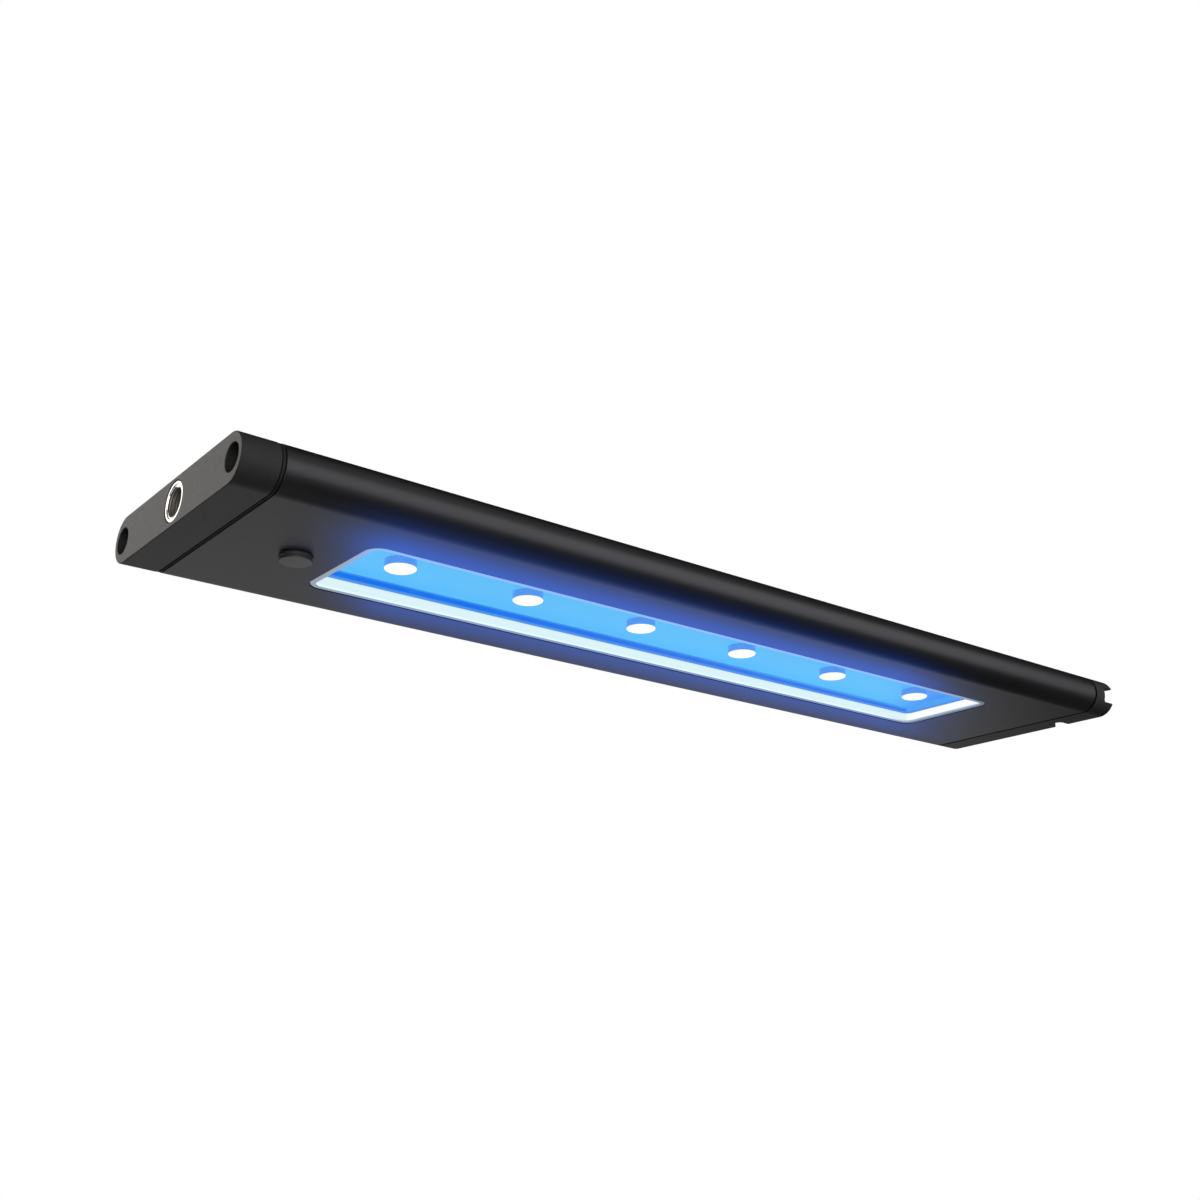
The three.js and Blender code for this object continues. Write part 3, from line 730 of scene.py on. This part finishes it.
def housing():
    """The extrusion, with its hollow, screw channels, window opening and button hole."""
    low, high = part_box("housing")
    made = bar("bar_housing", lambda inset: stadium(low, high, inset), low.x, high.x, CASE_EDGE)
    floor = low.z + LOWER_WALL
    hollow = rounded(-HOLLOW_HALF_WIDTH, HOLLOW_HALF_WIDTH, floor, HOLLOW_TOP, HOLLOW_CORNER, 4)
    through = (low.x - PAST, high.x + PAST)
    tools = [piece("hollow", [along_x(hollow, x) for x in through])]
    for y in (-SOCKET_Y, SOCKET_Y):
        channel = circle(y, 0, SCREW_CHANNEL_RADIUS, 24)
        tools.append(piece("channel", [along_x(channel, x) for x in through]))
    mouth = [(WINDOW_FLARE, low.z - SKIN), (0.0, low.z + WINDOW_FLARE), (0.0, floor + PAST)]
    x0, x1 = WINDOW_LOW.x - WINDOW_GAP, WINDOW_HIGH.x + WINDOW_GAP
    y0, y1 = WINDOW_LOW.y - WINDOW_GAP, WINDOW_HIGH.y + WINDOW_GAP
    opening = [
        along_z(rounded(x0 - f, x1 + f, y0 - f, y1 + f, WINDOW_CORNER + WINDOW_GAP + f), z)
        for f, z in mouth
    ]
    tools.append(piece("opening", opening))
    button_x = middle("control_button").x
    lip = BUTTON_LIP["radius"]
    hole = [
        (lip + BUTTON_LIP["ease"], low.z - SKIN),
        (lip, low.z + BUTTON_LIP["ease"]),
        (lip, low.z + BUTTON_LIP["depth"]),
        (BUTTON_HOLE_RADIUS, low.z + BUTTON_LIP["depth"]),
        (BUTTON_HOLE_RADIUS, floor + PAST),
    ]
    tools.append(piece("button_hole", [along_z(circle(button_x, 0, r), z) for r, z in hole]))
    for index in range(1, 7):
        screw = middle(f"board_screw_{index}")
        ring = circle(screw.x, screw.y, BOARD_SCREW_HOLE["radius"], 16)
        ends = (HOLLOW_TOP - LAP, BOARD_SCREW_HOLE["top"])
        tools.append(piece("screw_hole", [along_z(ring, z) for z in ends]))
    return cut(made, *tools)


finished(housing(), LOOKS["black_anodised"], stands_for=["housing"])


# ---- end caps and gaskets ----


def end_cap(name, node, outward):
    """An end cap's body, and the tools for its sockets, screw holes and rear pocket.

    outward is -1 or 1 along X. Returns the body, its face's x and the tools.
    """
    low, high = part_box(node)
    made = bar(name, lambda inset: stadium(low, high, inset), low.x, high.x, CAP_EDGE)
    face, rear = (high.x, low.x) if outward > 0 else (low.x, high.x)
    inward = -outward
    middle_z = (low.z + high.z) / 2
    half = (high.z - low.z) / 2 - CAP_POCKET_MARGIN
    pocket = rounded(-CAP_POCKET_HALF_WIDTH, CAP_POCKET_HALF_WIDTH,
                     middle_z - half, middle_z + half, POCKET_CORNER, 6)
    ends = (face + inward * CAP_WALL, rear + inward * PAST)
    tools = [piece("pocket", [along_x(pocket, x) for x in ends])]
    for y in (-SOCKET_Y, SOCKET_Y):
        mouth = [
            (SOCKET_RADIUS + SOCKET_FLARE, face + outward * SKIN, 0),
            (SOCKET_RADIUS, face + inward * SOCKET_FLARE, 0),
            (SOCKET_RADIUS, face + inward * SOCKET_DEPTH, 0),
        ]
        tools.append(turned_x("socket", mouth, y, 0))
        screw = [(SCREW_HOLE_RADIUS, face + inward * (SOCKET_DEPTH - LAP), 0),
                 (SCREW_HOLE_RADIUS, rear + inward * PAST, 0)]
        tools.append(turned_x("screw_hole", screw, y, 0, steps=24))
    return made, face, tools


def left_cap():
    """The cap at the inlet end, with the inlet's stepped bore."""
    made, face, tools = end_cap("inlet_end_cap", "left_end_cap", -1)
    seat = INLET_RADIUS + INLET_SEAT_GAP
    barrel = INLET_BARREL_RADIUS + INLET_BARREL_GAP
    depth = face + INLET_FLANGE + INLET_BARREL_GAP
    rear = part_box("left_end_cap")[1].x + PAST
    bore = [(seat + INLET_SEAT_FLARE, face - SKIN, 0), (seat, face + INLET_SEAT_FLARE, 0),
            (seat, depth, 0), (barrel, depth, 0), (barrel, rear, 0)]
    tools.append(turned_x("bore", bore, 0, middle("inlet_shell").z))
    return cut(made, *tools)


def right_cap():
    """The far cap, with a slot in each round side and a notch in its underside."""
    made, face, tools = end_cap("far_end_cap", "right_end_cap", 1)
    inner = face - SIDE_SLOT["length"]
    half = SIDE_SLOT["half_height"]
    slot = rounded(-half, half, inner, 2 * face - inner, SIDE_SLOT["corner"], 6)
    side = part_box("right_end_cap")[1].y + PAST
    for y0, y1 in ((SOCKET_Y, side), (-side, -SOCKET_Y)):
        tools.append(piece("side_slot", [along_y(slot, y) for y in (y0, y1)]))
    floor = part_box("right_end_cap")[0].z
    y, width = UNDER_NOTCH["y"], UNDER_NOTCH["half_width"]
    notch = rounded(inner, 2 * face - inner, y - width, y + width, UNDER_NOTCH["corner"], 8)
    ends = (floor - PAST, floor + UNDER_NOTCH["height"])
    tools.append(piece("notch", [along_z(notch, z) for z in ends]))
    return cut(made, *tools)


finished(left_cap(), LOOKS["cap_black"], stands_for=["left_end_cap"])
finished(right_cap(), LOOKS["cap_black"], stands_for=["right_end_cap"])


def gasket(name, node):
    """A seal between the housing and a cap."""
    low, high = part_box(node)
    made = bar(name, lambda inset: stadium(low, high, inset), low.x, high.x, GASKET_EDGE)
    middle_z = (low.z + high.z) / 2
    half = (high.z - low.z) / 2 - GASKET_MARGIN
    opening = rounded(-CAP_POCKET_HALF_WIDTH, CAP_POCKET_HALF_WIDTH,
                      middle_z - half, middle_z + half, POCKET_CORNER, 6)
    through = (low.x - PAST, high.x + PAST)
    tools = [piece("opening", [along_x(opening, x) for x in through])]
    for y in (-SOCKET_Y, SOCKET_Y):
        hole = circle(y, 0, SCREW_HOLE_RADIUS, 24)
        tools.append(piece("hole", [along_x(hole, x) for x in through]))
    return cut(made, *tools)


# the right seal takes the painted-shade copy of the rubber
for side, rubber in (("left", "gasket_rubber"), ("right", "rubber_painted_shade")):
    finished(gasket(f"{side}_seal", f"{side}_gasket"), LOOKS[rubber],
             stands_for=[f"{side}_gasket"])


# ---- cap screws ----


def cap_screw(name, node):
    """A pan-head screw with a cross recess in its head."""
    low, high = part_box(node)
    centre = middle(node)
    outward = -1 if centre.x < 0 else 1
    face, tip = (low.x, high.x) if outward < 0 else (high.x, low.x)

    def at(depth):
        return face - outward * depth

    profile = [
        (SCREW_HUB, at(0), 0),
        (SCREW_HEAD["crown"], at(0), 0.25 * MM),
        (SCREW_HEAD["radius"], at(SCREW_HEAD["bevel"]), 0.35 * MM),
        (SCREW_HEAD["radius"], at(SCREW_HEAD["height"]), 0.1 * MM),
        (SCREW_SHANK["radius"], at(SCREW_HEAD["height"]), 0),
        (SCREW_SHANK["radius"], at(SCREW_SHANK["length"]), 0),
        (SCREW_SHANK["point"], tip, 0),
    ]
    made = turned_x(name, profile, centre.y, centre.z, steps=40)
    arms = []
    long, short = SCREW_CROSS["long"], SCREW_CROSS["short"]
    for half_y, half_z in ((long, short), (short, long)):
        ends = (at(-LAP), at(SCREW_CROSS["depth"]))
        arm = rounded(centre.y - half_y, centre.y + half_y,
                      centre.z - half_z, centre.z + half_z, short / 2, 3)
        arms.append(piece("arm", [along_x(arm, x) for x in ends]))
    return cut(made, *arms)


for end in ("left", "right"):
    for side in ("near", "far"):
        node = f"{end}_{side}_cap_screw"
        made = cap_screw(f"{end}_{side}_screw", node)
        finished(made, LOOKS["screw_steel"], stands_for=[node])


# ---- power inlet ----


def inlet_ring():
    """The chrome shell: a flange, a stepped mouth and a ribbed bore."""
    low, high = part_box("inlet_shell")
    face = low.x
    profile = [
        (INLET_RADIUS, face + INLET_FLANGE, 0),
        (INLET_RADIUS, face, 0.22 * MM),
        (INLET_GROOVE["edge"], face, 0.08 * MM),
        (INLET_GROOVE["outer"], face + INLET_GROOVE["depth"], FINE_EDGE),
        (INLET_GROOVE["inner"], face + INLET_GROOVE["depth"], FINE_EDGE),
        (INLET_RIDGE["radius"], face + INLET_RIDGE["depth"], FINE_EDGE),
        (INLET_BORE, face + INLET_BORE_START, 0.1 * MM),
    ]
    valley = INLET_BORE + INLET_RIBS["depth"]
    start, end, rise = INLET_VALLEY
    for rib in range(INLET_RIBS["count"]):
        crest = face + INLET_RIBS["pitch"] * (rib + 1)
        profile += [
            (INLET_BORE, crest, FINE_EDGE),
            (valley, crest + start, FINE_EDGE),
            (valley, crest + end, FINE_EDGE),
            (INLET_BORE, crest + rise, FINE_EDGE),
        ]
    profile += [
        (INLET_BORE, high.x, 0),
        (INLET_BARREL_RADIUS, high.x, 0),
        (INLET_BARREL_RADIUS, face + INLET_FLANGE, 0),
    ]
    return turned_x("inlet_ring", profile, 0, middle("inlet_shell").z, looped=True)


def inlet_core():
    """The disc behind the bore that carries the pins."""
    low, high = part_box("inlet_insulator")
    profile = [(INLET_HUB, low.x, 0), (high.y, low.x, 0.2 * MM), (high.y, high.x, 0),
               (INLET_HUB, high.x, 0)]
    made = turned_x("inlet_core", profile, 0, (low.z + high.z) / 2)
    holes = []
    for index in range(1, 5):
        pin = middle(f"inlet_pin_{index}")
        hole = circle(pin.y, pin.z, PIN_RADIUS + PIN_GAP, 24)
        holes.append(piece("hole", [along_x(hole, x) for x in (low.x - PAST, high.x + PAST)]))
    return cut(made, *holes)


def inlet():
    """The shell, the core and the four pins."""
    finished(inlet_ring(), LOOKS["inlet_chrome"], stands_for=["inlet_shell"])
    finished(inlet_core(), LOOKS["inlet_plastic"],
             stands_for=["inlet_insulator"])
    for index in range(1, 5):
        node = f"inlet_pin_{index}"
        low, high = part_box(node)
        centre = middle(node)
        profile = [(INLET_HUB, low.x, 0), (PIN_RADIUS, low.x, PIN_EDGE), (PIN_RADIUS, high.x, 0)]
        made = turned_x(f"inlet_contact_{index}", profile, centre.y, centre.z, steps=24)
        finished(made, LOOKS["contact_metal"], stands_for=[node])


inlet()


# ---- window: bezel, cover and lit well ----


def window_ring(inset, z):
    """The rim's outline, shrunk by an inset, at a height."""
    corner = max(WINDOW_CORNER - inset, LEAST_CORNER)
    outline = rounded(WINDOW_LOW.x + inset, WINDOW_HIGH.x - inset,
                      WINDOW_LOW.y + inset, WINDOW_HIGH.y - inset, corner)
    return along_z(outline, z)


def bezel():
    """The pale rim round the window."""
    low, high = WINDOW_LOW.z, WINDOW_HIGH.z
    profile = [(0.0, high, 0), (0.0, low, BEZEL_EDGE),
               (BEZEL_WIDTH, low, BEZEL_EDGE), (BEZEL_WIDTH, high, 0)]
    rings = [window_ring(p.x, p.y) for p in fillet(profile, 3)]
    return piece("window_rim", rings, looped=True)


def cover():
    """The clear pane inside the rim."""
    low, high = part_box("window_pane")
    inset = low.x - WINDOW_LOW.x
    edge = PANE_EDGE
    rings = [(edge, low.z), (0.0, low.z + edge), (0.0, high.z - edge), (edge, high.z)]
    return piece("clear_cover", [window_ring(inset + i, z) for i, z in rings])


def well():
    """The stepped wall round the window's inside, with a flange just above the lower wall."""
    low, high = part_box("light_well")
    flange_out = low.x - WINDOW_LOW.x
    flange = WINDOW_LOW.z + WELL_FLANGE["above_rim"]
    flange_top = flange + WELL_FLANGE["thickness"]
    profile = [
        (WELL_MARGIN, low.z, 0),
        (BEZEL_WIDTH, low.z, 0),
        (BEZEL_WIDTH, WELL_STEP_Z, 0),
        (BEZEL_WIDTH + WELL_STEP, WELL_STEP_Z, 0),
        (BEZEL_WIDTH + WELL_STEP, high.z, 0),
        (WELL_MARGIN, high.z, 0),
        (WELL_MARGIN, flange_top, 0),
        (flange_out, flange_top, 0),
        (flange_out, flange, 0),
        (WELL_MARGIN, flange, 0),
    ]
    return piece("well_wall", [window_ring(p.x, p.y) for p in fillet(profile)], looped=True)


finished(bezel(), LOOKS["bezel_grey"], stands_for=["window_bezel"])
finished(cover(), LOOKS["clear_pane"], stands_for=["window_pane"])
finished(well(), LOOKS["well_white"], stands_for=["light_well"])


# ---- lens caps ----


def lens(index):
    """A lens cap, with a pocket for its LED."""
    node = f"lens_{index}"
    low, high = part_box(node)
    centre = middle(node)
    radius = (high.x - low.x) / 2
    pocket = LENS_POCKET["radius"]
    roof = high.z - LENS_POCKET["depth"]
    profile = [
        (HUB, low.z, 0),
        (radius, low.z, LENS_EDGE),
        (radius, high.z, 0),
        (pocket, high.z, 0),
        (pocket, roof, 0),
        (HUB, roof, 0),
    ]
    made = turned_z(f"lens_cap_{index}", profile, centre.x, centre.y)
    finished(made, LOOKS["lens_white"], stands_for=[node])


for index in range(1, 7):
    lens(index)


# ---- control button ----


def button():
    """The push button: a grip line round its side, a groove for the O-ring, a flange and a stem."""
    low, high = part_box("control_button")
    centre = middle("control_button")
    grip = BUTTON_RADIUS - GRIP_GROOVE["depth"]
    seal_low, seal_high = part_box("button_seal")
    groove = BUTTON_RADIUS - SEAL_GROOVE["depth"]
    groove_low = seal_low.z - SEAL_GROOVE["play"]
    groove_high = seal_high.z + SEAL_GROOVE["play"]
    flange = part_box("housing")[0].z + LOWER_WALL + BUTTON_FLANGE["gap"]
    flange_top = flange + BUTTON_FLANGE["height"]
    profile = [
        (HUB, low.z, 0),
        (BUTTON_RADIUS, low.z, BUTTON_EDGE),
        (BUTTON_RADIUS, GRIP_GROOVE["low"], FINE_EDGE),
        (grip, GRIP_GROOVE["low"], 0),
        (grip, GRIP_GROOVE["high"], 0),
        (BUTTON_RADIUS, GRIP_GROOVE["high"], FINE_EDGE),
        (BUTTON_RADIUS, groove_low, FINE_EDGE),
        (groove, groove_low, 0),
        (groove, groove_high, 0),
        (BUTTON_RADIUS, groove_high, FINE_EDGE),
        (BUTTON_RADIUS, flange, 0),
        (BUTTON_FLANGE["radius"], flange, 0.1 * MM),
        (BUTTON_FLANGE["radius"], flange_top, 0.1 * MM),
        (BUTTON_STEM_RADIUS, flange_top, 0.1 * MM),
        (BUTTON_STEM_RADIUS, high.z, 0.15 * MM),
        (HUB, high.z, 0),
    ]
    return turned_z("push_button", profile, centre.x, centre.y)


def seal():
    """The O-ring in the button's groove."""
    low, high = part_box("button_seal")
    centre = middle("button_seal")
    cord = (high.z - low.z) / 2
    ring = (high.x - low.x) / 2 - cord
    section = circle(ring, centre.z, cord, 20)
    rings = [along_z(circle(centre.x, centre.y, r), z) for r, z in section]
    return piece("button_o_ring", rings, looped=True)


finished(button(), LOOKS["button_black"], ["control_button"], "button")
finished(seal(), LOOKS["gasket_rubber"], ["button_seal"], "button")


# ---- CAD pieces inside that keep their own shape ----

NODE_LOOKS = {
    "led_board": "led_board_mask",
    "thermal_pad": "pad_grey",
    "control_board": "control_board_mask",
    "inductor": "ferrite",
    "capacitor": "capacitor_case",
    "controller_chip": "chip_epoxy",
    "switch_body": "switch_can",
    "switch_dome": "contact_metal",
    "switch_plunger": "chip_epoxy",
    "inlet_lead_positive": "lead_red",
    "inlet_lead_negative": "lead_black",
    "led_lead_positive": "lead_red",
    "led_lead_negative": "lead_black",
}
for index in range(1, 7):
    NODE_LOOKS[f"led_{index}"] = "led_phosphor"
    NODE_LOOKS[f"board_screw_{index}"] = "screw_steel"
for node, slot in NODE_LOOKS.items():
    frame["nodes"][node].material_slots[0].material = LOOKS[slot]


# ---- camera, light and floor ----

CAMERA_PLACE = (-0.26016, -0.28721, -0.12397)
CAMERA_YAW = -38.265
CAMERA_PITCH = 19.117
CAMERA_LENS = 42.98  # millimetres, on a sensor 36 mm wide
SENSOR_WIDTH = 36
CLIP_START = 0.01
FLOOR_Z = -0.6
FLOOR_REACH = 40.0
FLOOR_FADE = (0.2, 3.5)  # it turns white between these distances


def camera():
    """The camera that was fitted to the photo."""
    data = bpy.data.cameras.new("camera")
    data.lens = CAMERA_LENS
    data.sensor_width = SENSOR_WIDTH
    data.clip_start = CLIP_START
    made = bpy.data.objects.new("camera", data)
    made.location = CAMERA_PLACE
    made.rotation_euler = (math.radians(90 + CAMERA_PITCH), 0, math.radians(CAMERA_YAW))
    bpy.context.scene.collection.objects.link(made)
    bpy.context.scene.camera = made


def soft_box(name, direction, distance, width, height, power, tint=(1, 1, 1)):
    """An area light that shines at the object from a direction, unseen by the camera."""
    data = bpy.data.lights.new(name, "AREA")
    data.shape = "RECTANGLE"
    data.size = width
    data.size_y = height
    data.energy = power
    data.color = tint
    made = bpy.data.objects.new(name, data)
    towards = Vector(direction).normalized()
    made.location = towards * distance
    made.rotation_euler = (-towards).to_track_quat("-Z", "Y").to_euler()
    made.visible_camera = False
    bpy.context.scene.collection.objects.link(made)


def world():
    """White behind the object, and a dim grey room for everything that it reflects."""
    made = bpy.data.worlds.new("room")
    bpy.context.scene.world = made
    made.use_nodes = True
    tree = made.node_tree
    tree.nodes.clear()
    height = axes(tree, put(tree, "TexCoord", {}).outputs["Generated"])[2]
    below = between(tree, height, -0.80, -0.97, out_low=0.0, out_high=0.30)
    above = between(tree, height, -0.1, 0.3, out_low=0.05, out_high=0.008)
    level = math_node(tree, "ADD", below, above)
    room = put(tree, "Background", {"Color": (1.0, 1.0, 1.0, 1.0), "Strength": level})
    backdrop = put(tree, "Background", {"Color": (1.0, 1.0, 1.0, 1.0), "Strength": 1.0})
    seen = put(tree, "LightPath", {}).outputs["Is Camera Ray"]
    shown = put(tree, "MixShader", {0: seen, 1: room.outputs[0], 2: backdrop.outputs[0]})
    put(tree, "OutputWorld", {"Surface": shown.outputs[0]})


def floor():
    """A pale floor well below the light, which fades into the white backdrop."""
    data = bpy.data.meshes.new("floor")
    corners = [(-1, -1), (1, -1), (1, 1), (-1, 1)]
    points = [(x * FLOOR_REACH, y * FLOOR_REACH, FLOOR_Z) for x, y in corners]
    data.from_pydata(points, [], [(0, 1, 2, 3)])
    made = bpy.data.objects.new("floor", data)
    bpy.context.scene.collection.objects.link(made)
    look, tree, place = new_look("floor")
    flat = put(tree, "VectorMath", {0: place, 1: (1.0, 1.0, 0.0)}, operation="MULTIPLY").outputs[0]
    away = put(tree, "VectorMath", {0: flat}, operation="LENGTH").outputs["Value"]
    shown = blend(tree, between(tree, away, *FLOOR_FADE), colour(240, 241, 243), (1, 1, 1, 1))
    close(tree, put(tree, "Emission", {"Color": shown}).outputs[0])
    data.materials.append(look)
    made.visible_diffuse = False
    made.visible_glossy = False


camera()
soft_box("key", (0.46, -0.86, 0.22), distance=1.5, width=1.6, height=1.35, power=12.8,
         tint=(0.98, 0.98, 1.04))
soft_box("end", (-0.60, 0.74, 0.31), distance=1.4, width=1.2, height=1.2, power=7.9,
         tint=(1.0, 0.955, 0.915))
soft_box("under", (0.39, 0.845, -0.36), distance=1.4, width=1.74, height=1.3, power=3.1)
soft_box("crown", (0.30, -0.45, 0.84), distance=1.4, width=1.0, height=0.8, power=0.9)
soft_box("fill", (-0.60, -0.75, 0.25), distance=1.3, width=1.0, height=1.0, power=4)
soft_box("low_fill", (-0.45, -0.80, -0.35), distance=1.3, width=1.0, height=1.0, power=5.5)
world()
floor()
bpy.context.scene.view_settings.view_transform = "Standard"
